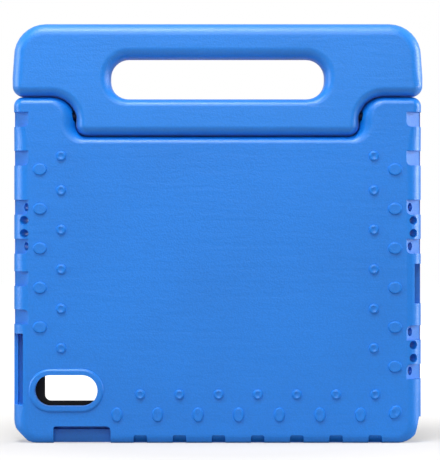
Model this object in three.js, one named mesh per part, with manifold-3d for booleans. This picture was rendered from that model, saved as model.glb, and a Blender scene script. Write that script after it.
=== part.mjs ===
// A foam case for a tablet, seen from behind, with a carrying handle that folds back into a stand.
// Millimetres, +Z up. The case stands on its bottom edge, its back panel faces -Y, its screen +Y.
import * as THREE from 'three';
import { mergeVertices } from 'three/addons/utils/BufferGeometryUtils.js';
import Module from 'manifold-3d';

// The tablet that the pocket holds
const tabletWidth = 248.6;
const tabletHeight = 179.5;
const tabletThickness = 7;
const tabletCornerRadius = 9;
const tabletClearance = 0.45;

// Foam walls around the tablet
const sideWall = 9.25;
const bottomWall = 10.65;
const topWall = 10.2;
const panelThickness = 8;
const lipThickness = 5;
const lipOverlap = 6;
const lipFlare = 2.5;

// Screen film and the black border behind it
const filmThickness = 0.4;
const borderThickness = 0.5;
const borderOverlapSide = 10.75;
const borderOverlapEnds = 16.3;
const borderCornerRadius = 4;
const seatGap = 0.3;

// Outline of the case and how far its edges are rounded, seen from behind and in depth
const caseCornerRadius = 15.5;
const shoulderCornerRadius = 6;
const shoulderArchRadius = 15.7;
const sideEdge = { inset: 9.7, depth: 10 };
const bottomEdge = { inset: 6, depth: 3 };
const topEdge = { inset: 5, depth: 8 };
const archEdge = { inset: 10, depth: 9 };
const frontEdge = { inset: 4.5, depth: 4 };
const sideEdgeTaper = 24;

// Handle
const handleDepth = 26;
const handleProud = 1.3;
const handleHeight = 275.2;
const handleHalfWidth = 134.9;
const handleWaist = 1;
const handleTopRadiusShare = 0.44;
const handleBulgeShare = 0.13;
const earCornerRadius = 7;
const tongueHalfWidth = 93.1;
const tongueCornerRadius = 7;
const tongueEdge = { inset: 6.4, depth: 9.5 };
const gripBarShare = 0.466;
const gripEdgeShare = 0.347;
const gripEdgeDepth = 8.5;
const gripHoleFromSide = 64.6;
const gripHoleRadiusShare = 0.45;
const gripHoleTopEdgeShare = 0.327;
const gripHoleTopEdgeDepth = 9;
const gripHoleBottomEdge = { inset: 5, depth: 7 };

// Hinge: a pin fixed in each end of the tongue turns in a bush inside each shoulder
const partingGap = 0.3;
const hingeReach = 13.1;
const hingeBehindFace = 8.3;
const pinDiameter = 5;
const pinRootDiameter = 8;
const pinRootLength = 26;
const pinCover = 7;
const pinBarbs = 4;
const pinJournalLength = 27;
const bushWall = 1.2;
const bushLength = 24;
const bushSetback = 3.5;

// Camera hole with its raised collar
const cameraHoleWidth = 41.2;
const cameraHoleHeight = 20.4;
const cameraHoleFromSide = 14.15;
const cameraHoleFromBottom = 24.2;
const collarWidth = 4.2;
const collarHeight = 1.2;

// Openings for the buttons and the port; each is cut from behind as far as cutoutDepth
const cutoutDepth = 15;
const cutoutRadius = 3.3;
const powerSlot = { fromBottom: 25.1, length: 46.7, reach: 6.4 };
const portSlot = { fromBottom: 91.4, length: 26.2, reach: 4.6 };
const slotWindowMargin = 2;
const volumeFromSide = 26.4;
const volumeLength = 37.5;
const volumeHeight = 11;

// Rows of sound holes in the sides
const soundHoleDiameter = 5.8;
const soundHoleTilt = 38;
const soundHolePitch = 8.55;
const soundHolesPerRow = 4;
const soundHoleFromLeft = 8.9;
const soundHoleFromRight = 6.6;
const upperSoundRow = 141.8;
const lowerSoundRow = 60;

// Grip notches on the sides, at shares of the height of the shoulders, and along the bottom
const notchHeight = 9.8;
const notchReach = 10.1;
const notchDepth = 16;
const notchLip = 0.6;
const notchRadius = 3.3;
const upperNotches = [0.935, 0.823, 0.681, 0.568];
const leftNotches = [...upperNotches, 0.474, 0.364];
const rightNotches = [...upperNotches, 0.318, 0.206];
const cornerNotches = [
  { side: -1, turn: 45, radius: 14.2, from: -20, to: 20 },
  { side: 1, turn: 12, radius: 13.4, from: -4.6, to: 20 },
];
const bottomNotchReach = 5.3;
const bottomNotchDepth = 6;
const bottomNotchWidth = 8.8;
const bottomNotchRadius = 1.5;

// Raised bumps on the back panel
const bumpHeight = 1.3;
const smallBump = { width: 6.8, height: 6.8 };
const wideBump = { width: 9.4, height: 8 };
const tallBump = { width: 7.6, height: 9.8 };
const innerColumnFromSide = 31.5;
const innerColumn = { start: 62.2, fromTop: 35.55, count: 5, topFromTop: 13.05 };
const outerColumnFromSide = 17.6;
const outerColumn = { start: 50.1, fromTop: 21.8, count: 6 };
const innerRow = { fromHole: 28, fromSide: 30.6, height: 31.9, count: 7 };
const outerRow = { fromHole: 12.7, fromSide: 40.25, height: 18.6, count: 7 };
const cornerBump = { height: 20.2, turn: 35 };

// Fineness of the round stretches
const cornerSteps = 8;
const edgeSteps = 5;
const holeSides = 12;
const bumpSides = 12;

// Derived places
const pocketWidth = tabletWidth + 2 * tabletClearance;
const pocketHeight = tabletHeight + 2 * tabletClearance;
const pocketRadius = tabletCornerRadius + tabletClearance;
const caseHalfWidth = pocketWidth / 2 + sideWall;
const pocketMiddle = bottomWall + pocketHeight / 2;
const trayTop = bottomWall + pocketHeight + topWall;
const backFace = -handleDepth / 2 + handleProud;
const pocketFloor = backFace + panelThickness;
const cutoutFloor = backFace + cutoutDepth;
const borderBack = pocketFloor + tabletThickness + tabletClearance;
const filmBack = borderBack + borderThickness + seatGap;
const lipBack = filmBack + filmThickness + seatGap;
const frontFace = lipBack + lipThickness;
const axisY = backFace + hingeBehindFace;
const axisZ = trayTop + hingeReach;
const shoulderTop = axisZ + hingeReach - partingGap;
const tongueBottom = trayTop + partingGap;
const earBottom = shoulderTop + partingGap;
const troughHalfWidth = tongueHalfWidth + partingGap;
const archX = troughHalfWidth + shoulderArchRadius;
const archZ = shoulderTop - shoulderArchRadius;
const earHeight = handleHeight - earBottom;
const handleTopRadius = earHeight * handleTopRadiusShare;
const gripHoleBottom = axisZ + pinRootDiameter / 2 + seatGap + pinCover;
const gripBar = (handleHeight - gripHoleBottom) * gripBarShare;
const gripHoleTop = handleHeight - gripBar;
const gripEdge = { inset: gripBar * gripEdgeShare, depth: gripEdgeDepth };
const gripHoleTopEdge = { inset: gripBar * gripHoleTopEdgeShare, depth: gripHoleTopEdgeDepth };
const beyond = 4;

const wasm = await Module();
wasm.setup();

// Outline points on an arc, with the edge rounding going from one value to another along it
function arc(x, z, radius, from, to, edgeFrom, edgeTo) {
  return Array.from({ length: cornerSteps + 1 }, (_, i) => {
    const share = i / cornerSteps;
    const angle = THREE.MathUtils.degToRad(THREE.MathUtils.lerp(from, to, share));
    return {
      x: x + radius * Math.cos(angle),
      z: z + radius * Math.sin(angle),
      inset: THREE.MathUtils.lerp(edgeFrom.inset, edgeTo.inset, share),
      depth: THREE.MathUtils.lerp(edgeFrom.depth, edgeTo.depth, share),
    };
  });
}

// A whole outline from its right half, which runs from the bottom middle to the top middle
function mirrored(half) {
  const apart = (p, i) => i === 0 || Math.hypot(p.x - half[i - 1].x, p.z - half[i - 1].z) > 1e-3;
  const right = half.filter(apart);
  const left = right.slice(1, -1).reverse().map((p) => ({ ...p, x: -p.x }));
  return [...right, ...left];
}

function roundedRect(halfWidth, bottom, top, radius, bottomRound, topRound) {
  return mirrored([
    { x: 0, z: bottom, ...bottomRound },
    ...arc(halfWidth - radius, bottom + radius, radius, -90, 0, bottomRound, topRound),
    ...arc(halfWidth - radius, top - radius, radius, 0, 90, topRound, topRound),
    { x: 0, z: top, ...topRound },
  ]);
}

// How far each outline point moves outwards for an offset of one millimetre
function miters(outline) {
  return outline.map((p, i) => {
    const before = outline.at(i - 1);
    const after = outline[(i + 1) % outline.length];
    const a = new THREE.Vector2(p.z - before.z, before.x - p.x).normalize();
    const b = new THREE.Vector2(after.z - p.z, p.x - after.x).normalize();
    const middle = a.clone().add(b).normalize();
    return middle.divideScalar(middle.dot(a));
  });
}

// A closed body through rings with equal numbers of points, from the back ring to the front one
function loft(rings) {
  const count = rings[0].length;
  const index = [];
  for (let k = 0; k + 1 < rings.length; k += 1) {
    for (let i = 0; i < count; i += 1) {
      const a = k * count + i;
      const b = k * count + ((i + 1) % count);
      index.push(a, a + count, b, b, a + count, b + count);
    }
  }
  const cap = (ring) => THREE.ShapeUtils.triangulateShape(ring.map((p) => new THREE.Vector2(p.x, p.z)), []);
  const last = (rings.length - 1) * count;
  cap(rings[0]).forEach(([a, b, c]) => index.push(a, b, c));
  cap(rings.at(-1)).forEach(([a, b, c]) => index.push(last + a, last + c, last + b));
  const geometry = new THREE.BufferGeometry().setFromPoints(rings.flat());
  return geometry.setIndex(index);
}

// A moulded slab between two faces: its edges are rounded by each point's own inset and depth.
// The front takes the rounding of frontRound, and a negative inset flares the edge outwards.
function moulded(outline, back, front, frontRound = (p) => p, overrun = 0) {
  const outwards = miters(outline);
  const ring = (face, side, round, turn) => outline.map((p, i) => {
    const { inset, depth } = round(p);
    const offset = -inset * (1 - Math.sin(turn));
    const y = face + side * depth * (1 - Math.cos(turn));
    return new THREE.Vector3(p.x + outwards[i].x * offset, y, p.z + outwards[i].y * offset);
  });
  const turns = Array.from({ length: edgeSteps + 1 }, (_, k) => (k / edgeSteps) * Math.PI / 2);
  const backRings = turns.map((turn) => ring(back, 1, (p) => p, turn));
  const frontRings = turns.map((turn) => ring(front, -1, frontRound, turn)).reverse();
  if (overrun > 0) {
    const shift = (points, by) => points.map((p) => p.clone().setY(p.y + by));
    backRings.unshift(shift(backRings[0], -overrun));
    frontRings.push(shift(frontRings.at(-1), overrun));
  }
  return loft([...backRings, ...frontRings]);
}

// A flat shape in X and Z, carried along Y
function slab(shape, back, front) {
  const geometry = new THREE.ExtrudeGeometry(shape, {
    depth: front - back,
    bevelEnabled: false,
    curveSegments: cornerSteps,
  });
  return geometry.rotateX(Math.PI / 2).translate(0, front, 0);
}

// A rectangle whose corners have their own radii: bottom left, bottom right, top right, top left
function rectShape(left, right, bottom, top, radii = [0, 0, 0, 0]) {
  const [a, b, c, d] = radii;
  const shape = new THREE.Shape();
  shape.moveTo(left + a, bottom);
  shape.lineTo(right - b, bottom);
  if (b > 0) shape.absarc(right - b, bottom + b, b, -Math.PI / 2, 0);
  shape.lineTo(right, top - c);
  if (c > 0) shape.absarc(right - c, top - c, c, 0, Math.PI / 2);
  shape.lineTo(left + d, top);
  if (d > 0) shape.absarc(left + d, top - d, d, Math.PI / 2, Math.PI);
  shape.lineTo(left, bottom + a);
  if (a > 0) shape.absarc(left + a, bottom + a, a, Math.PI, Math.PI * 1.5);
  return shape;
}

function box(left, right, back, front, bottom, top) {
  return slab(rectShape(left, right, bottom, top), back, front);
}

// A round body along X, from a profile of [radius, x] points
function alongX(profile) {
  const points = profile.map(([radius, x]) => new THREE.Vector2(radius, x));
  return new THREE.LatheGeometry(points, holeSides).rotateZ(-Math.PI / 2);
}

function rod(radius, from, to) {
  return alongX([[0, from], [radius, from], [radius, to], [0, to]]).translate(0, axisY, axisZ);
}

function solid(geometry) {
  const bare = geometry.clone();
  bare.deleteAttribute('normal');
  bare.deleteAttribute('uv');
  const merged = mergeVertices(bare, 1e-4);
  const index = merged.index.array;
  const faces = [];
  for (let i = 0; i < index.length; i += 3) {
    const [a, b, c] = index.slice(i, i + 3);
    if (a !== b && b !== c && c !== a) faces.push(a, b, c);
  }
  return new wasm.Manifold(new wasm.Mesh({
    numProp: 3,
    vertProperties: Float32Array.from(merged.attributes.position.array),
    triVerts: Uint32Array.from(faces),
  }));
}

const joined = (geometries) => geometries.map(solid).reduce((sum, body) => sum.add(body));

function mesh(name, body, material) {
  const { vertProperties, triVerts } = body.getMesh();
  const geometry = new THREE.BufferGeometry();
  geometry.setAttribute('position', new THREE.BufferAttribute(vertProperties, 3));
  geometry.setIndex(new THREE.BufferAttribute(triVerts, 1));
  geometry.computeVertexNormals();
  const result = new THREE.Mesh(geometry, material);
  result.name = name;
  return result;
}

// The case: one moulding with two shoulders beside the trough that the tongue of the handle fills
function caseOutline() {
  const troughRadius = tongueCornerRadius + partingGap;
  return mirrored([
    { x: 0, z: 0, ...bottomEdge },
    ...arc(
      caseHalfWidth - caseCornerRadius,
      caseCornerRadius,
      caseCornerRadius,
      -90,
      0,
      bottomEdge,
      sideEdge,
    ),
    { x: caseHalfWidth, z: shoulderTop - shoulderCornerRadius - sideEdgeTaper, ...sideEdge },
    ...arc(
      caseHalfWidth - shoulderCornerRadius,
      shoulderTop - shoulderCornerRadius,
      shoulderCornerRadius,
      0,
      90,
      topEdge,
      topEdge,
    ),
    ...arc(archX, archZ, shoulderArchRadius, 90, 180, topEdge, archEdge),
    ...arc(troughHalfWidth - troughRadius, trayTop + troughRadius, troughRadius, 0, -90, archEdge, topEdge),
    { x: 0, z: trayTop, ...topEdge },
  ]);
}

function pocketCutter() {
  const pocket = rectShape(
    -pocketWidth / 2,
    pocketWidth / 2,
    pocketMiddle - pocketHeight / 2,
    pocketMiddle + pocketHeight / 2,
    Array(4).fill(pocketRadius),
  );
  const flare = { inset: -lipFlare, depth: lipThickness - 1 };
  const window = moulded(
    roundedRect(
      pocketWidth / 2 - lipOverlap,
      pocketMiddle - pocketHeight / 2 + lipOverlap,
      pocketMiddle + pocketHeight / 2 - lipOverlap,
      pocketRadius,
      { inset: 0, depth: 1 },
      { inset: 0, depth: 1 },
    ),
    pocketFloor + 1,
    frontFace,
    () => flare,
    1,
  );
  return joined([slab(pocket, pocketFloor, lipBack), window]);
}

const cameraHole = {
  left: -caseHalfWidth + cameraHoleFromSide,
  right: -caseHalfWidth + cameraHoleFromSide + cameraHoleWidth,
  bottom: cameraHoleFromBottom,
  top: cameraHoleFromBottom + cameraHoleHeight,
};

function cameraCutter() {
  const { left, right, bottom, top } = cameraHole;
  const shape = rectShape(left, right, bottom, top, Array(4).fill(cameraHoleHeight / 2));
  return solid(slab(shape, backFace - beyond, pocketFloor + beyond));
}

function cameraCollar() {
  const { left, right, bottom, top } = cameraHole;
  const round = { inset: collarWidth * 0.45, depth: collarHeight + 0.6 };
  const outline = roundedRect(
    (right - left) / 2 + collarWidth,
    bottom - collarWidth,
    top + collarWidth,
    cameraHoleHeight / 2 + collarWidth,
    round,
    round,
  );
  const square = () => ({ inset: 0, depth: 0.5 });
  const collar = moulded(outline, backFace - collarHeight, backFace + 2, square);
  return collar.translate((left + right) / 2, 0, 0);
}

// A slot in the side wall, cut from behind, with a window from it into the pocket
function sideSlot(side, { fromBottom, length, reach }) {
  const span = (inner, outer) => [side * inner, side * outer].sort((a, b) => a - b);
  const inner = caseHalfWidth - reach;
  const [left, right] = span(inner, caseHalfWidth + beyond);
  const [windowLeft, windowRight] = span(pocketWidth / 2 - 1, inner + 1);
  return joined([
    box(left, right, backFace - beyond, cutoutFloor, fromBottom, fromBottom + length),
    box(
      windowLeft,
      windowRight,
      pocketFloor,
      cutoutFloor,
      fromBottom + slotWindowMargin,
      fromBottom + length - slotWindowMargin,
    ),
  ]);
}

function volumeCutter() {
  const left = -caseHalfWidth + volumeFromSide;
  const radii = [0, 0, cutoutRadius, cutoutRadius / 2];
  const shape = rectShape(left, left + volumeLength, -beyond, volumeHeight, radii);
  return solid(slab(shape, backFace - beyond, cutoutFloor));
}

// A row of round holes that slant inwards from the rounded side edge to the pocket
function soundHoles(side, fromSide, middle) {
  const radius = soundHoleDiameter / 2;
  const length = panelThickness + 2 * beyond;
  return joined(Array.from({ length: soundHolesPerRow }, (_, i) => {
    const z = middle + (i - (soundHolesPerRow - 1) / 2) * soundHolePitch;
    const hole = new THREE.CylinderGeometry(radius, radius, length, holeSides);
    hole.rotateZ(side * THREE.MathUtils.degToRad(soundHoleTilt));
    return hole.translate(side * (caseHalfWidth - fromSide), backFace + 3, z);
  }));
}

// Notches with a bevelled floor, which run out at the side wall
function sideNotches(side, heights) {
  const edge = side * caseHalfWidth;
  const inner = edge - side * notchReach;
  const profile = new THREE.Shape([
    new THREE.Vector2(inner - side * beyond, backFace - beyond),
    new THREE.Vector2(edge + side * beyond, backFace - beyond),
    new THREE.Vector2(edge + side * beyond, backFace + notchDepth),
    new THREE.Vector2(edge - side * notchLip, backFace + notchDepth),
    new THREE.Vector2(inner, backFace),
  ]);
  const wedge = new THREE.ExtrudeGeometry(profile, { depth: shoulderTop, bevelEnabled: false });
  const outlines = heights.map((share) => {
    const z = share * shoulderTop;
    const roundBottom = z > pocketMiddle ? notchRadius : 0;
    const roundTop = notchRadius - roundBottom;
    const radii = side > 0 ? [roundBottom, 0, 0, roundTop] : [0, roundBottom, roundTop, 0];
    const [left, right] = [inner, edge + side * beyond].sort((a, b) => a - b);
    const shape = rectShape(left, right, z - notchHeight / 2, z + notchHeight / 2, radii);
    return slab(shape, backFace - beyond, backFace + notchDepth + 1);
  });
  return joined(outlines).intersect(solid(wedge));
}

// A flat cut across a rounded bottom corner, at a radius from the middle of its arc
function cornerNotch({ side, turn, radius, from, to }) {
  const [left, right] = [side * radius, side * (caseCornerRadius + beyond)].sort((a, b) => a - b);
  const cutter = box(left, right, backFace - beyond, frontFace + beyond, -to, -from);
  cutter.rotateY(side * THREE.MathUtils.degToRad(turn));
  return solid(cutter.translate(side * (caseHalfWidth - caseCornerRadius), 0, caseCornerRadius));
}

function bottomNotches(places) {
  const profile = new THREE.Shape([
    new THREE.Vector2(backFace - beyond, -beyond),
    new THREE.Vector2(backFace + bottomNotchDepth, -beyond),
    new THREE.Vector2(backFace + bottomNotchDepth, notchLip),
    new THREE.Vector2(backFace, bottomNotchReach),
    new THREE.Vector2(backFace - beyond, bottomNotchReach + beyond),
  ]);
  const wedge = new THREE.ExtrudeGeometry(profile, { depth: 2 * caseHalfWidth, bevelEnabled: false });
  wedge.applyMatrix4(new THREE.Matrix4().makeBasis(
    new THREE.Vector3(0, 1, 0),
    new THREE.Vector3(0, 0, 1),
    new THREE.Vector3(1, 0, 0),
  ));
  wedge.translate(-caseHalfWidth, 0, 0);
  const outlines = places.map((x) => {
    const radii = [0, 0, bottomNotchRadius, bottomNotchRadius];
    const half = bottomNotchWidth / 2;
    const shape = rectShape(x - half, x + half, -beyond, bottomNotchReach, radii);
    return slab(shape, backFace - beyond, backFace + bottomNotchDepth + 1);
  });
  return joined(outlines).intersect(solid(wedge));
}

// A low round bump with a dimple in its crown
function bump({ width, height }, x, z, turn = 0) {
  const rootDepth = 1;
  const profile = [[0, -rootDepth], [1, -rootDepth], [1, 0], [0.88, 0.8], [0.64, 1], [0, 0.4]];
  const points = profile.map(([radius, rise]) => new THREE.Vector2(radius, rise * bumpHeight));
  const dome = new THREE.LatheGeometry(points, bumpSides).rotateX(Math.PI);
  dome.scale(width / 2, 1, height / 2).rotateY(THREE.MathUtils.degToRad(turn));
  return dome.translate(x, backFace, z);
}

// Places spread evenly between two ends
function spread(from, to, count) {
  return Array.from({ length: count }, (_, i) => THREE.MathUtils.lerp(from, to, i / (count - 1)));
}

const rowPlaces = ({ fromHole, fromSide, count }) => (
  spread(cameraHole.right + fromHole, caseHalfWidth - fromSide, count)
);

function bumps() {
  const innerX = caseHalfWidth - innerColumnFromSide;
  const outerX = caseHalfWidth - outerColumnFromSide;
  const inner = [
    ...spread(innerColumn.start, trayTop - innerColumn.fromTop, innerColumn.count),
    trayTop - innerColumn.topFromTop,
  ];
  const outer = spread(outerColumn.start, trayTop - outerColumn.fromTop, outerColumn.count);
  return joined([
    ...inner.flatMap((z) => [bump(smallBump, -innerX, z), bump(smallBump, innerX, z)]),
    ...outer.slice(1).map((z) => bump(wideBump, -outerX, z)),
    ...outer.map((z) => bump(wideBump, outerX, z)),
    ...rowPlaces(innerRow).map((x) => bump(smallBump, x, innerRow.height)),
    ...rowPlaces(outerRow).map((x) => bump(tallBump, x, outerRow.height)),
    bump(tallBump, outerX, cornerBump.height, cornerBump.turn),
  ]);
}

const boreRadius = pinDiameter / 2 + seatGap + bushWall + seatGap;
const bushStart = troughHalfWidth + bushSetback;
const bushEnd = bushStart + bushLength;

function caseBody() {
  const cutters = [
    pocketCutter(),
    cameraCutter(),
    sideSlot(-1, powerSlot),
    sideSlot(1, portSlot),
    volumeCutter(),
    soundHoles(-1, soundHoleFromLeft, upperSoundRow),
    soundHoles(1, soundHoleFromRight, upperSoundRow),
    soundHoles(1, soundHoleFromRight, lowerSoundRow),
    ...cornerNotches.map(cornerNotch),
    solid(rod(boreRadius, troughHalfWidth - beyond, bushEnd + seatGap)),
    solid(rod(boreRadius, -bushEnd - seatGap, -troughHalfWidth + beyond)),
  ];
  const slabBody = solid(moulded(caseOutline(), backFace, frontFace, () => frontEdge))
    .subtract(sideNotches(-1, leftNotches))
    .subtract(sideNotches(1, rightNotches))
    .subtract(bottomNotches(rowPlaces(innerRow)));
  const raised = slabBody.add(solid(cameraCollar())).add(bumps());
  return cutters.reduce((body, cutter) => body.subtract(cutter), raised);
}

// The handle: two ears that sit on the shoulders, a grip bar above and a tongue below the grip hole
function handleOutline() {
  const widest = earBottom + earCornerRadius + (earHeight - earCornerRadius) * handleBulgeShare;
  const cornerX = handleHalfWidth - handleWaist - handleTopRadius;
  return mirrored([
    { x: 0, z: tongueBottom, ...tongueEdge },
    ...arc(
      tongueHalfWidth - tongueCornerRadius,
      tongueBottom + tongueCornerRadius,
      tongueCornerRadius,
      -90,
      0,
      tongueEdge,
      tongueEdge,
    ),
    ...arc(archX, archZ, shoulderArchRadius + partingGap, 180, 90, tongueEdge, tongueEdge),
    ...arc(
      handleHalfWidth - earCornerRadius,
      earBottom + earCornerRadius,
      earCornerRadius,
      -90,
      0,
      tongueEdge,
      tongueEdge,
    ),
    { x: handleHalfWidth, z: widest, ...gripEdge },
    ...arc(cornerX, handleHeight - handleTopRadius, handleTopRadius, 0, 90, gripEdge, gripEdge),
    { x: 0, z: handleHeight, ...gripEdge },
  ]);
}

function gripHoleCutter() {
  const flared = ({ inset, depth }) => ({ inset: -inset, depth });
  const outline = roundedRect(
    handleHalfWidth - gripHoleFromSide,
    gripHoleBottom,
    gripHoleTop,
    (gripHoleTop - gripHoleBottom) * gripHoleRadiusShare,
    flared(gripHoleBottomEdge),
    flared(gripHoleTopEdge),
  );
  return moulded(outline, -handleDepth / 2, handleDepth / 2, (p) => p, 1);
}

const rootStart = tongueHalfWidth - pinRootLength;

function handleBody() {
  const socketRadius = pinRootDiameter / 2 + seatGap;
  const socketFrom = rootStart - seatGap;
  return solid(moulded(handleOutline(), -handleDepth / 2, handleDepth / 2))
    .subtract(solid(gripHoleCutter()))
    .subtract(solid(rod(socketRadius, socketFrom, tongueHalfWidth + beyond)))
    .subtract(solid(rod(socketRadius, -tongueHalfWidth - beyond, -socketFrom)));
}

// Pin with a barbed root in the tongue and a plain journal in the bush
function pinProfile() {
  const barbLength = (pinRootLength - 2) / pinBarbs;
  const neck = pinRootDiameter / 2 - 0.8;
  const barbs = Array.from({ length: pinBarbs }, (_, i) => {
    const start = rootStart + i * barbLength;
    return [[neck, start], [pinRootDiameter / 2, start + barbLength * 0.75]];
  });
  const end = tongueHalfWidth + pinJournalLength;
  return [
    [0, rootStart],
    ...barbs.flat(),
    [neck, tongueHalfWidth - 2],
    [pinDiameter / 2, tongueHalfWidth - 1],
    [pinDiameter / 2, end - 1],
    [pinDiameter / 2 - 0.6, end],
    [0, end],
  ];
}

function bushProfile() {
  const inner = pinDiameter / 2 + seatGap;
  const outer = inner + bushWall;
  return [[inner, bushStart], [outer, bushStart], [outer, bushEnd], [inner, bushEnd], [inner, bushStart]];
}

function hingePiece(profile, side) {
  const piece = alongX(profile);
  if (side < 0) piece.rotateZ(Math.PI);
  return solid(piece.translate(0, axisY, axisZ));
}

// Clear film across the window of the lip, and the black border behind it
function filmShape() {
  const halfWidth = pocketWidth / 2 - seatGap;
  const halfHeight = pocketHeight / 2 - seatGap;
  const radii = Array(4).fill(pocketRadius - seatGap);
  return rectShape(-halfWidth, halfWidth, pocketMiddle - halfHeight, pocketMiddle + halfHeight, radii);
}

function screenBorder() {
  const halfWidth = pocketWidth / 2 - borderOverlapSide;
  const halfHeight = pocketHeight / 2 - borderOverlapEnds;
  const radii = Array(4).fill(borderCornerRadius);
  const low = pocketMiddle - halfHeight;
  const high = pocketMiddle + halfHeight;
  const view = rectShape(-halfWidth, halfWidth, low, high, radii);
  const shape = filmShape();
  shape.holes.push(new THREE.Path(view.getPoints(cornerSteps)));
  return solid(slab(shape, borderBack, borderBack + borderThickness));
}

const foam = new THREE.MeshStandardMaterial({ color: 0x3f86e4, roughness: 0.75, metalness: 0 });
const handleFoam = new THREE.MeshStandardMaterial({ color: 0x4d93ee, roughness: 0.75, metalness: 0 });
const pinPlastic = new THREE.MeshStandardMaterial({ color: 0x0d2350, roughness: 0.45, metalness: 0 });
const bushPlastic = new THREE.MeshStandardMaterial({ color: 0x122d62, roughness: 0.5, metalness: 0 });
const blackFilm = new THREE.MeshStandardMaterial({ color: 0x2b2926, roughness: 0.4, metalness: 0 });
const clearFilm = new THREE.MeshStandardMaterial({
  color: 0xeef4f8,
  roughness: 0.1,
  metalness: 0,
  transparent: true,
  opacity: 0.25,
});

const tabletCase = new THREE.Group();
tabletCase.add(
  mesh('case_body', caseBody(), foam),
  mesh('handle', handleBody(), handleFoam),
  mesh('hinge_pin_left', hingePiece(pinProfile(), -1), pinPlastic),
  mesh('hinge_pin_right', hingePiece(pinProfile(), 1), pinPlastic),
  mesh('hinge_bush_left', hingePiece(bushProfile(), -1), bushPlastic),
  mesh('hinge_bush_right', hingePiece(bushProfile(), 1), bushPlastic),
  mesh('screen_border', screenBorder(), blackFilm),
  mesh('screen_film', solid(slab(filmShape(), filmBack, filmBack + filmThickness)), clearFilm),
);

export default tabletCase;
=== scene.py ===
import math

import bmesh
import bpy
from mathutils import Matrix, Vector


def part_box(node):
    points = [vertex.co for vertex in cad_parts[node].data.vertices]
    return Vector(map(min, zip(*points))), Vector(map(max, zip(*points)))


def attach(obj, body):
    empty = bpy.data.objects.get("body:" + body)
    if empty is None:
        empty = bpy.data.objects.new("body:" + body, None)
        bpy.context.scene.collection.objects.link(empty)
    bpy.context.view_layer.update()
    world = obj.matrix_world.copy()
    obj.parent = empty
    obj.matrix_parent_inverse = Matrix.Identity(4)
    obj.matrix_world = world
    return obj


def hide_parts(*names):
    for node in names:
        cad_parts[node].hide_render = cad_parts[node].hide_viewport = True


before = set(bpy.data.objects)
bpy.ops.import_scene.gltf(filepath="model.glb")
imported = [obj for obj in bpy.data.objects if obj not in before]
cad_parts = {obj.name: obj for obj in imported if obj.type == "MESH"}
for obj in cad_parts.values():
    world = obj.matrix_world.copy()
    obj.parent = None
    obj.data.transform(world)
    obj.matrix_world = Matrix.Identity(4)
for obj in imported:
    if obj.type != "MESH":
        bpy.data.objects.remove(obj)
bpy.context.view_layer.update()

bl_info = {
    "name": "Foam Tablet Case",
    "version": (1, 0, 0),
    "blender": (4, 5, 0),
    "location": "3D View > Sidebar > Foam Case",
    "description": "Foam skin, hinge parts, film and studio for a tablet case with a folding handle",
    "category": "Object",
}

MILLIMETRE = 0.001

# The picture's width and height in pixels, and where the case's middle and its bottom edge lie in it
PHOTO_SIZE = (440, 460)
MIDDLE_PIXEL = 217.5
BOTTOM_PIXEL = 441.7
SENSOR_HEIGHT = 36.0

# How the loose triangles of a moulding are joined and shaded
WELD_DISTANCE = 0.002 * MILLIMETRE
FLAT_ANGLE = math.radians(0.6)
CREASE_ANGLE = math.radians(34)

# The lip that closes the parting under the handle
LIP_HEIGHT = 0.4 * MILLIMETRE
LIP_FROM_SIDE = 5.5 * MILLIMETRE
LIP_WALL_LEAN = 0.02

# The two rows of sound holes in each side of the case, and the facets inside them, which get painted shade
SOUND_ROWS = (60 * MILLIMETRE, 141.8 * MILLIMETRE)
SOUND_ROW_REACH = 17 * MILLIMETRE
SOUND_HOLE_FROM_SIDE = 16 * MILLIMETRE
SOUND_HOLE_TILT = math.radians(38)
SOUND_HOLE_FACET = 40 * MILLIMETRE ** 2
SOUND_HOLE_LEAN = 0.03
# Share of the case colour kept in the painted shade inside the sound holes
HOLE_SHADE_SHARE = 0.2

# Foam inside two openings, each from its lowest to its highest corner in millimetres:
# the outer side of the power button's slot, and the floor under the volume buttons
FOAM_LEDGES = (
    ((-133.9, -2.7, 24.9), (-131.4, 3.6, 72.0)),
    ((-107.8, -3.4, 0.1), (-69.9, 3.6, 8.5)),
)

# Each lamp's place and width; its power is a setting of the studio
LAMPS = {
    "top": ((-0.1, -0.4, 1.3), 1.2),
    "high": ((-0.2, -0.65, 1.5), 0.5),
    "front": ((0.0, -1.8, 1.15), 0.7),
    "fill": ((0.0, -2.0, 0.6), 1.2),
    "left": ((-1.2, -0.15, 0.4), 0.7),
    "right": ((1.2, 0.1, 0.4), 0.7),
}

# The floor glows less near the object, where its shadow lies, than far away
FLOOR_REACH = 5.0
FLOOR_COLOUR = (0.42, 0.41, 0.40)
SHADOW_REACH = (0.1, 0.7)
SHADOW_GLOW = (0.33, 1.0)

# How much of the white room and floor a mirror ray meets
ROOM_IN_MIRROR = 0.5
FLOOR_IN_MIRROR = 0.0


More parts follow.
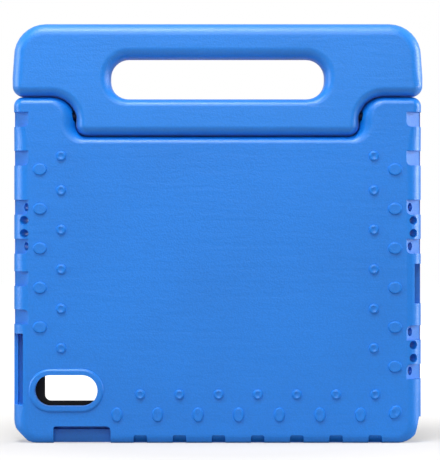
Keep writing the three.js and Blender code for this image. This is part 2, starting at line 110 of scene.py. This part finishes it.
class FoamLook(bpy.types.PropertyGroup):
    """Colours and skin of the two foam mouldings."""

    case_colour: bpy.props.FloatVectorProperty(
        name="Case Colour",
        description="Colour of the foam that the case is moulded from",
        subtype="COLOR",
        size=3,
        min=0.0,
        max=1.0,
        default=(0.002, 0.203, 0.750),
    )
    handle_colour: bpy.props.FloatVectorProperty(
        name="Handle Colour",
        description="Colour of the foam that the handle is moulded from",
        subtype="COLOR",
        size=3,
        min=0.0,
        max=1.0,
        default=(0.003, 0.215, 0.770),
    )
    case_sheen: bpy.props.FloatProperty(
        name="Case Sheen",
        description="Strength of the soft bloom on the case's skin",
        subtype="FACTOR",
        default=0.0,
        min=0.0,
        max=1.0,
    )
    handle_sheen: bpy.props.FloatProperty(
        name="Handle Sheen",
        description="Strength of the soft bloom on the handle's skin",
        subtype="FACTOR",
        default=0.15,
        min=0.0,
        max=1.0,
    )
    grain_size: bpy.props.FloatProperty(
        name="Grain Size",
        description="Width of one cell of the leathery skin",
        unit="LENGTH",
        default=1.1 * MILLIMETRE,
        min=0.2 * MILLIMETRE,
        max=5 * MILLIMETRE,
    )
    grain_depth: bpy.props.FloatProperty(
        name="Grain Depth",
        description="Depth of the lines between the cells of the skin",
        unit="LENGTH",
        default=0.10 * MILLIMETRE,
        min=0.0,
        max=1 * MILLIMETRE,
    )
    edge_softness: bpy.props.FloatProperty(
        name="Edge Softness",
        description="Width of the rounding that moulding leaves on a cut edge",
        unit="LENGTH",
        default=0.3 * MILLIMETRE,
        min=0.05 * MILLIMETRE,
        max=1.5 * MILLIMETRE,
    )


class FittingsLook(bpy.types.PropertyGroup):
    """Colours of the hinge parts and of the screen film."""

    # The pins and sleeves are dark plastic, made darker still as painted shade where they show in the
    # parting under the handle
    pin_colour_and_shade: bpy.props.FloatVectorProperty(
        name="Pin Colour",
        description="Colour of the plastic hinge pins",
        subtype="COLOR",
        size=3,
        min=0.0,
        max=1.0,
        default=(0.001, 0.007, 0.040),
    )
    bush_colour_and_shade: bpy.props.FloatVectorProperty(
        name="Bush Colour",
        description="Colour of the plastic sleeves that the pins turn in",
        subtype="COLOR",
        size=3,
        min=0.0,
        max=1.0,
        default=(0.006, 0.025, 0.110),
    )
    border_colour: bpy.props.FloatVectorProperty(
        name="Border Colour",
        description="Colour of the border around the screen window",
        subtype="COLOR",
        size=3,
        min=0.0,
        max=1.0,
        default=(0.012, 0.011, 0.011),
    )


class StudioLook(bpy.types.PropertyGroup):
    """Camera and light of the studio."""

    camera_distance: bpy.props.FloatProperty(
        name="Camera Distance",
        description="Distance from the camera to the middle of the object's thickness",
        unit="LENGTH",
        default=1.7,
        min=0.5,
        max=10.0,
    )
    pixel_size: bpy.props.FloatProperty(
        name="Pixel Size",
        description="Real size of one pixel of the picture at the middle of the object's thickness",
        unit="LENGTH",
        default=0.66 * MILLIMETRE,
        min=0.1 * MILLIMETRE,
        max=5 * MILLIMETRE,
    )
    top_power: bpy.props.FloatProperty(
        name="Top Power",
        description="Power of the large soft light above the object",
        unit="POWER",
        default=10.0,
        min=0.0,
        max=500.0,
    )
    high_power: bpy.props.FloatProperty(
        name="High Power",
        description="Power of the soft light high in front of the object",
        unit="POWER",
        default=13.0,
        min=0.0,
        max=500.0,
    )
    front_power: bpy.props.FloatProperty(
        name="Front Power",
        description="Power of the soft light just above the camera",
        unit="POWER",
        default=9.0,
        min=0.0,
        max=500.0,
    )
    fill_power: bpy.props.FloatProperty(
        name="Fill Power",
        description="Power of the large faint light behind the camera",
        unit="POWER",
        default=3.0,
        min=0.0,
        max=500.0,
    )
    left_power: bpy.props.FloatProperty(
        name="Left Power",
        description="Power of the soft light on the left",
        unit="POWER",
        default=8.0,
        min=0.0,
        max=500.0,
    )
    right_power: bpy.props.FloatProperty(
        name="Right Power",
        description="Power of the soft light on the right",
        unit="POWER",
        default=14.0,
        min=0.0,
        max=500.0,
    )
    room_light: bpy.props.FloatProperty(
        name="Room Light",
        description="Strength of the even light from all around",
        default=0.02,
        min=0.0,
        max=2.0,
    )


def new_material(name):
    material = bpy.data.materials.new(name)
    material.use_nodes = True
    nodes = material.node_tree.nodes
    return material, nodes, material.node_tree.links, nodes["Principled BSDF"]


def noise(nodes, links, place, scale, detail):
    """Clouds of a scale in cycles per metre, laid on the given coordinates."""
    texture = nodes.new("ShaderNodeTexNoise")
    texture.inputs["Scale"].default_value = scale
    texture.inputs["Detail"].default_value = detail
    links.new(place, texture.inputs["Vector"])
    return texture


def spread(nodes, links, value, low, high):
    """A value from 0 to 1 spread over low to high."""
    mapped = nodes.new("ShaderNodeMapRange")
    mapped.inputs["To Min"].default_value = low
    mapped.inputs["To Max"].default_value = high
    links.new(value, mapped.inputs["Value"])
    return mapped


def relief(nodes, links, height, depth, strength, below=None):
    """A bump of the given depth, on top of another bump if there is one below."""
    bump = nodes.new("ShaderNodeBump")
    bump.inputs["Distance"].default_value = depth
    bump.inputs["Strength"].default_value = strength
    links.new(height, bump.inputs["Height"])
    if below:
        links.new(below.outputs["Normal"], bump.inputs["Normal"])
    return bump


def shades_of(nodes, links, value, colour, darkest, lightest):
    """A colour that varies between two shares of itself."""
    ramp = nodes.new("ShaderNodeValToRGB")
    dark, light = ramp.color_ramp.elements
    dark.color = (*(darkest * channel for channel in colour), 1)
    light.color = (*(min(1.0, lightest * channel) for channel in colour), 1)
    links.new(value, ramp.inputs["Fac"])
    return ramp


def dress(node_object, material):
    """Give a piece its finished material."""
    node_object.data.materials.clear()
    node_object.data.materials.append(material)


def foam_material(name, colour, sheen, look):
    """Moulded closed-cell foam: leathery cells, fine pores and faint wrinkles across, with painted shade in
    the grooves between the cells.
    """
    material, nodes, links, shader = new_material(name)
    place = nodes.new("ShaderNodeTexCoord").outputs["Object"]
    warp_scale = 1 / (6 * look.grain_size)
    warp_reach = 1.2 * look.grain_size
    pore_scale = 2.6 / look.grain_size
    pore_depth = 0.6 * look.grain_depth
    wrinkle_scale = 1 / (4.5 * look.grain_size)
    wrinkle_stretch = (0.14, 0.6, 1.0)
    wrinkle_depth = 3.0 * look.grain_depth
    cloud_scale = 14

    warp = noise(nodes, links, place, warp_scale, detail=2)
    bend = nodes.new("ShaderNodeVectorMath")
    bend.operation = "MULTIPLY_ADD"
    bend.inputs[1].default_value = (warp_reach, warp_reach, warp_reach)
    links.new(warp.outputs["Color"], bend.inputs[0])
    links.new(place, bend.inputs[2])
    cells = nodes.new("ShaderNodeTexVoronoi")
    cells.feature = "SMOOTH_F1"
    cells.inputs["Scale"].default_value = 1 / look.grain_size
    cells.inputs["Smoothness"].default_value = 0.5
    links.new(bend.outputs["Vector"], cells.inputs["Vector"])

    pores = noise(nodes, links, place, pore_scale, detail=3)

    stretch = nodes.new("ShaderNodeMapping")
    stretch.inputs["Scale"].default_value = wrinkle_stretch
    links.new(place, stretch.inputs["Vector"])
    wrinkles = noise(nodes, links, stretch.outputs["Vector"], wrinkle_scale, detail=4)
    wrinkles.inputs["Roughness"].default_value = 0.62
    wrinkles.inputs["Distortion"].default_value = 0.4

    grooves = relief(nodes, links, cells.outputs["Distance"], look.grain_depth, strength=0.55)
    grooves.invert = True
    pitted = relief(nodes, links, pores.outputs["Fac"], pore_depth, strength=0.45, below=grooves)
    creased = relief(nodes, links, wrinkles.outputs["Fac"], wrinkle_depth, strength=0.5, below=pitted)
    links.new(creased.outputs["Normal"], shader.inputs["Normal"])

    clouds = noise(nodes, links, place, cloud_scale, detail=3)
    shades = shades_of(nodes, links, clouds.outputs["Fac"], colour, darkest=0.93, lightest=1.05)
    shades.color_ramp.elements[0].position = 0.25
    shades.color_ramp.elements[1].position = 0.75
    # Painted shade: the colour darkens towards the grooves between the cells
    lines = spread(nodes, links, cells.outputs["Distance"], low=1.03, high=0.93)
    lines.inputs["From Max"].default_value = 0.7
    groove_shaded_colour = nodes.new("ShaderNodeVectorMath")
    groove_shaded_colour.operation = "SCALE"
    links.new(shades.outputs["Color"], groove_shaded_colour.inputs[0])
    links.new(lines.outputs["Result"], groove_shaded_colour.inputs["Scale"])
    links.new(groove_shaded_colour.outputs["Vector"], shader.inputs["Base Color"])

    matt = spread(nodes, links, pores.outputs["Fac"], low=0.34, high=0.46)
    links.new(matt.outputs["Result"], shader.inputs["Roughness"])
    shader.inputs["Specular IOR Level"].default_value = 0.6
    shader.inputs["Sheen Weight"].default_value = sheen
    shader.inputs["Sheen Roughness"].default_value = 0.5
    return material


def plastic_material(name, colour, roughness, fleck, shine):
    """Moulded plastic with fine spark-eroded texture and slight colour variation."""
    material, nodes, links, shader = new_material(name)
    place = nodes.new("ShaderNodeTexCoord").outputs["Object"]
    erosion_depth = 0.04 * MILLIMETRE
    flecks = noise(nodes, links, place, 1 / fleck, detail=3).outputs["Fac"]
    eroded = relief(nodes, links, flecks, erosion_depth, strength=0.4)
    links.new(eroded.outputs["Normal"], shader.inputs["Normal"])
    shades = shades_of(nodes, links, flecks, colour, darkest=0.85, lightest=1.12)
    links.new(shades.outputs["Color"], shader.inputs["Base Color"])
    matt = spread(nodes, links, flecks, low=roughness - 0.06, high=roughness + 0.08)
    links.new(matt.outputs["Result"], shader.inputs["Roughness"])
    shader.inputs["Specular IOR Level"].default_value = shine
    return material


def film_material(name):
    """Clear plastic film with the faintest haze and handling marks."""
    material, nodes, links, shader = new_material(name)
    place = nodes.new("ShaderNodeTexCoord").outputs["Object"]
    haze = noise(nodes, links, place, scale=22, detail=5)
    marks = spread(nodes, links, haze.outputs["Fac"], low=0.02, high=0.09)
    links.new(marks.outputs["Result"], shader.inputs["Roughness"])
    shader.inputs["Base Color"].default_value = (0.97, 0.985, 0.99, 1)
    shader.inputs["Transmission Weight"].default_value = 1.0
    shader.inputs["IOR"].default_value = 1.05
    shader.inputs["Alpha"].default_value = 0.22
    return material


def foam_ledge(shape, low, high):
    """Add a block of the same foam, from its lowest to its highest corner in millimetres."""
    ledge = bmesh.ops.create_cube(shape, size=1.0)["verts"]
    size = [(b - a) * MILLIMETRE for a, b in zip(low, high)]
    middle = [(a + b) / 2 * MILLIMETRE for a, b in zip(low, high)]
    bmesh.ops.scale(shape, verts=ledge, vec=size)
    bmesh.ops.translate(shape, verts=ledge, vec=middle)


def parting_lip(shape):
    """Raise the screen side of the wall under the handle, so that the parting lets no light through."""
    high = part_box("case_body")[1]
    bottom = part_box("handle")[0].z - LIP_HEIGHT
    shape.normal_update()
    walls = [
        face
        for face in shape.faces
        if abs(face.normal.y) < LIP_WALL_LEAN
        and face.calc_center_median().z > bottom - LIP_HEIGHT
        and max(vert.co.y for vert in face.verts) > high.y / 2
    ]
    rims = {vert for face in walls for vert in face.verts if vert.co.y > high.y / 2}
    for vert in rims:
        if abs(vert.co.x) < high.x - LIP_FROM_SIDE:
            outwards = sum((face.normal for face in vert.link_faces if face in walls), Vector())
            vert.co += LIP_HEIGHT * outwards.normalized()


def paint_shade_in_sound_holes(shape):
    """Give the facets inside the small slanted sound holes the piece's second material, a dark foam that
    paints the shade in the holes.
    """
    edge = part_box("case_body")[1].x - SOUND_HOLE_FROM_SIDE
    shape.normal_update()
    for face in shape.faces:
        middle = face.calc_center_median()
        side = math.copysign(1, middle.x)
        along = Vector((side * math.sin(SOUND_HOLE_TILT), -math.cos(SOUND_HOLE_TILT), 0))
        in_row = any(abs(middle.z - row) < SOUND_ROW_REACH for row in SOUND_ROWS)
        lengthwise = abs(face.normal.dot(along)) < SOUND_HOLE_LEAN
        small = face.calc_area() < SOUND_HOLE_FACET
        if in_row and lengthwise and small and abs(middle.x) > edge:
            face.material_index = 1


def foam_moulding(node, name, body, material, softness, painted_hole_shade=None):
    """A smooth-shaded moulding on a CAD node's own form, with its cut edges softened.

    The case also gives the darker foam of painted shade for its sound holes, and then gets its lip and
    ledges.
    """
    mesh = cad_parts[node].data.copy()
    mesh.name = name
    shape = bmesh.new()
    shape.from_mesh(mesh)
    bmesh.ops.remove_doubles(shape, verts=shape.verts, dist=WELD_DISTANCE)
    bmesh.ops.dissolve_limit(shape, angle_limit=FLAT_ANGLE, verts=shape.verts, edges=shape.edges)
    if painted_hole_shade:
        parting_lip(shape)
        paint_shade_in_sound_holes(shape)
        for low, high in FOAM_LEDGES:
            foam_ledge(shape, low, high)
    for face in shape.faces:
        face.smooth = True
    for edge in shape.edges:
        edge.smooth = edge.calc_face_angle(0.0) < CREASE_ANGLE
    shape.to_mesh(mesh)
    shape.free()
    piece = bpy.data.objects.new(name, mesh)
    bpy.context.scene.collection.objects.link(piece)
    dress(piece, material)
    if painted_hole_shade:
        mesh.materials.append(painted_hole_shade)
    soften = piece.modifiers.new("soft edges", "BEVEL")
    soften.width = softness
    soften.segments = 2
    soften.limit_method = "ANGLE"
    soften.angle_limit = CREASE_ANGLE
    level = piece.modifiers.new("even shading", "WEIGHTED_NORMAL")
    level.keep_sharp = False
    level.weight = 60
    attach(piece, body)
    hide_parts(node)


class TABLETCASE_OT_case_shell(bpy.types.Operator):
    """Mould the foam case with its bumps, notches and openings"""

    bl_idname = "tablet_case.case_shell"
    bl_label = "Case Shell"

    def execute(self, context):
        look = context.scene.foam_look
        foam = foam_material("case foam", look.case_colour, look.case_sheen, look)
        # Painted shade: a darker copy of the case colour for the facets inside the sound holes
        shade = tuple(HOLE_SHADE_SHARE * channel for channel in look.case_colour)
        painted_hole_shade = plastic_material("deep foam", shade, roughness=0.7, fleck=look.grain_size, shine=0.1)
        softness = look.edge_softness
        foam_moulding("case_body", "case_shell", "case", foam, softness, painted_hole_shade)
        return {"FINISHED"}


class TABLETCASE_OT_carry_handle(bpy.types.Operator):
    """Mould the foam handle with its grip hole and tongue"""

    bl_idname = "tablet_case.carry_handle"
    bl_label = "Carry Handle"

    def execute(self, context):
        look = context.scene.foam_look
        foam = foam_material("handle foam", look.handle_colour, look.handle_sheen, look)
        softness = look.edge_softness
        foam_moulding("handle", "carry_handle", "folding_handle", foam, softness)
        return {"FINISHED"}


class TABLETCASE_OT_hinge_parts(bpy.types.Operator):
    """Finish the hinge pins and the sleeves that they turn in"""

    bl_idname = "tablet_case.hinge_parts"
    bl_label = "Hinge Parts"

    def execute(self, context):
        look = context.scene.fittings_look
        matt = 0.55
        shine = 0.15
        # Pin and sleeve colours hold painted shade as well as their own dark plastic
        pin = plastic_material("pin plastic", look.pin_colour_and_shade, matt, 0.4 * MILLIMETRE, shine)
        bush = plastic_material("bush plastic", look.bush_colour_and_shade, matt, 0.5 * MILLIMETRE, shine)
        for side in ("left", "right"):
            dress(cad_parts[f"hinge_pin_{side}"], pin)
            dress(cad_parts[f"hinge_bush_{side}"], bush)
        return {"FINISHED"}


class TABLETCASE_OT_screen_window(bpy.types.Operator):
    """Finish the clear screen film and its black border"""

    bl_idname = "tablet_case.screen_window"
    bl_label = "Screen Window"

    def execute(self, context):
        look = context.scene.fittings_look
        fleck = 0.6 * MILLIMETRE
        border = plastic_material("border black", look.border_colour, roughness=0.5, fleck=fleck, shine=0.2)
        dress(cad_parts["screen_border"], border)
        dress(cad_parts["screen_film"], film_material("clear film"))
        return {"FINISHED"}


def aim(thing, place, target):
    thing.location = place
    thing.rotation_euler = (Vector(target) - Vector(place)).to_track_quat("-Z", "Y").to_euler()


def soft_light(name, place, target, width, power):
    lamp = bpy.data.lights.new(name, "AREA")
    lamp.shape = "SQUARE"
    lamp.size = width
    lamp.energy = power
    light = bpy.data.objects.new(name, lamp)
    bpy.context.scene.collection.objects.link(light)
    aim(light, place, target)


def seen_directly(nodes, links, mirror_share):
    """1 for camera and see-through rays, a share of 1 for mirror rays, and 0 for the rest."""
    path = nodes.new("ShaderNodeLightPath")
    mirrored = nodes.new("ShaderNodeMath")
    mirrored.operation = "MULTIPLY"
    mirrored.inputs[1].default_value = mirror_share
    links.new(path.outputs["Is Glossy Ray"], mirrored.inputs[0])
    either = nodes.new("ShaderNodeMath")
    either.operation = "MAXIMUM"
    links.new(path.outputs["Is Camera Ray"], either.inputs[0])
    links.new(mirrored.outputs["Value"], either.inputs[1])
    any_ray = nodes.new("ShaderNodeMath")
    any_ray.operation = "MAXIMUM"
    links.new(either.outputs["Value"], any_ray.inputs[0])
    links.new(path.outputs["Is Transmission Ray"], any_ray.inputs[1])
    return any_ray.outputs["Value"]


def white_world(room_light):
    world = bpy.data.worlds.new("studio")
    world.use_nodes = True
    bpy.context.scene.world = world
    nodes = world.node_tree.nodes
    links = world.node_tree.links
    seen = seen_directly(nodes, links, ROOM_IN_MIRROR)
    strength = spread(nodes, links, seen, low=room_light, high=1.0)
    nodes["Background"].inputs["Color"].default_value = (1, 1, 1, 1)
    links.new(strength.outputs["Result"], nodes["Background"].inputs["Strength"])


def white_floor(height, reach):
    """A pale floor that looks white to the camera and keeps the shadow of what stands on it."""
    shape = bmesh.new()
    bmesh.ops.create_grid(shape, x_segments=1, y_segments=1, size=reach)
    bmesh.ops.translate(shape, verts=shape.verts, vec=(0, 0, height))
    mesh = bpy.data.meshes.new("floor")
    shape.to_mesh(mesh)
    shape.free()
    floor = bpy.data.objects.new("floor", mesh)
    bpy.context.scene.collection.objects.link(floor)
    material, nodes, links, shader = new_material("floor white")
    shader.inputs["Base Color"].default_value = (*FLOOR_COLOUR, 1)
    shader.inputs["Roughness"].default_value = 0.9
    shader.inputs["Specular IOR Level"].default_value = 0.0
    shader.inputs["Emission Color"].default_value = (1, 1, 1, 1)
    place = nodes.new("ShaderNodeTexCoord")
    away = nodes.new("ShaderNodeVectorMath")
    away.operation = "LENGTH"
    links.new(place.outputs["Object"], away.inputs[0])
    glow = spread(nodes, links, away.outputs["Value"], *SHADOW_GLOW)
    glow.inputs["From Min"].default_value = SHADOW_REACH[0]
    glow.inputs["From Max"].default_value = SHADOW_REACH[1]
    lift = nodes.new("ShaderNodeMath")
    lift.operation = "MULTIPLY"
    links.new(seen_directly(nodes, links, FLOOR_IN_MIRROR), lift.inputs[0])
    links.new(glow.outputs["Result"], lift.inputs[1])
    links.new(lift.outputs["Value"], shader.inputs["Emission Strength"])
    dress(floor, material)


class TABLETCASE_OT_studio(bpy.types.Operator):
    """Set up the camera, the floor and the soft lights"""

    bl_idname = "tablet_case.studio"
    bl_label = "Studio"

    def execute(self, context):
        scene = context.scene
        look = scene.studio_look
        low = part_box("case_body")[0]
        width, height = PHOTO_SIZE
        across = (width / 2 - MIDDLE_PIXEL) * look.pixel_size
        up = low.z + (BOTTOM_PIXEL - height / 2) * look.pixel_size
        view_height = height * look.pixel_size

        camera_data = bpy.data.cameras.new("camera")
        camera_data.sensor_fit = "VERTICAL"
        camera_data.sensor_height = SENSOR_HEIGHT
        camera_data.lens = SENSOR_HEIGHT * look.camera_distance / view_height
        camera = bpy.data.objects.new("camera", camera_data)
        scene.collection.objects.link(camera)
        aim(camera, (across, -look.camera_distance, up), (across, 0, up))
        scene.camera = camera

        centre = (0, 0, up)
        for name, (place, size) in LAMPS.items():
            soft_light(name, place, centre, size, getattr(look, f"{name}_power"))
        white_world(look.room_light)
        white_floor(low.z, FLOOR_REACH)
        scene.view_settings.view_transform = "Standard"
        return {"FINISHED"}


STEPS = (
    TABLETCASE_OT_case_shell,
    TABLETCASE_OT_carry_handle,
    TABLETCASE_OT_hinge_parts,
    TABLETCASE_OT_screen_window,
    TABLETCASE_OT_studio,
)


class TABLETCASE_PT_panel(bpy.types.Panel):
    """Lists the steps of the foam case and their settings"""

    bl_idname = "TABLETCASE_PT_panel"
    bl_label = "Foam Case"
    bl_space_type = "VIEW_3D"
    bl_region_type = "UI"
    bl_category = "Foam Case"

    def draw(self, context):
        layout = self.layout
        scene = context.scene
        for look in (scene.foam_look, scene.fittings_look, scene.studio_look):
            box = layout.box()
            for name in look.bl_rna.properties.keys():
                if name not in ("rna_type", "name"):
                    box.prop(look, name)
        for step in STEPS:
            layout.operator(step.bl_idname)


CLASSES = (FoamLook, FittingsLook, StudioLook, *STEPS, TABLETCASE_PT_panel)


def register():
    for cls in CLASSES:
        bpy.utils.register_class(cls)
    bpy.types.Scene.foam_look = bpy.props.PointerProperty(type=FoamLook)
    bpy.types.Scene.fittings_look = bpy.props.PointerProperty(type=FittingsLook)
    bpy.types.Scene.studio_look = bpy.props.PointerProperty(type=StudioLook)


def unregister():
    del bpy.types.Scene.studio_look
    del bpy.types.Scene.fittings_look
    del bpy.types.Scene.foam_look
    for cls in reversed(CLASSES):
        bpy.utils.unregister_class(cls)


def main():
    register()
    bpy.ops.tablet_case.case_shell()
    bpy.ops.tablet_case.carry_handle()
    bpy.ops.tablet_case.hinge_parts()
    bpy.ops.tablet_case.screen_window()
    bpy.ops.tablet_case.studio()


if __name__ == "__main__":
    main()
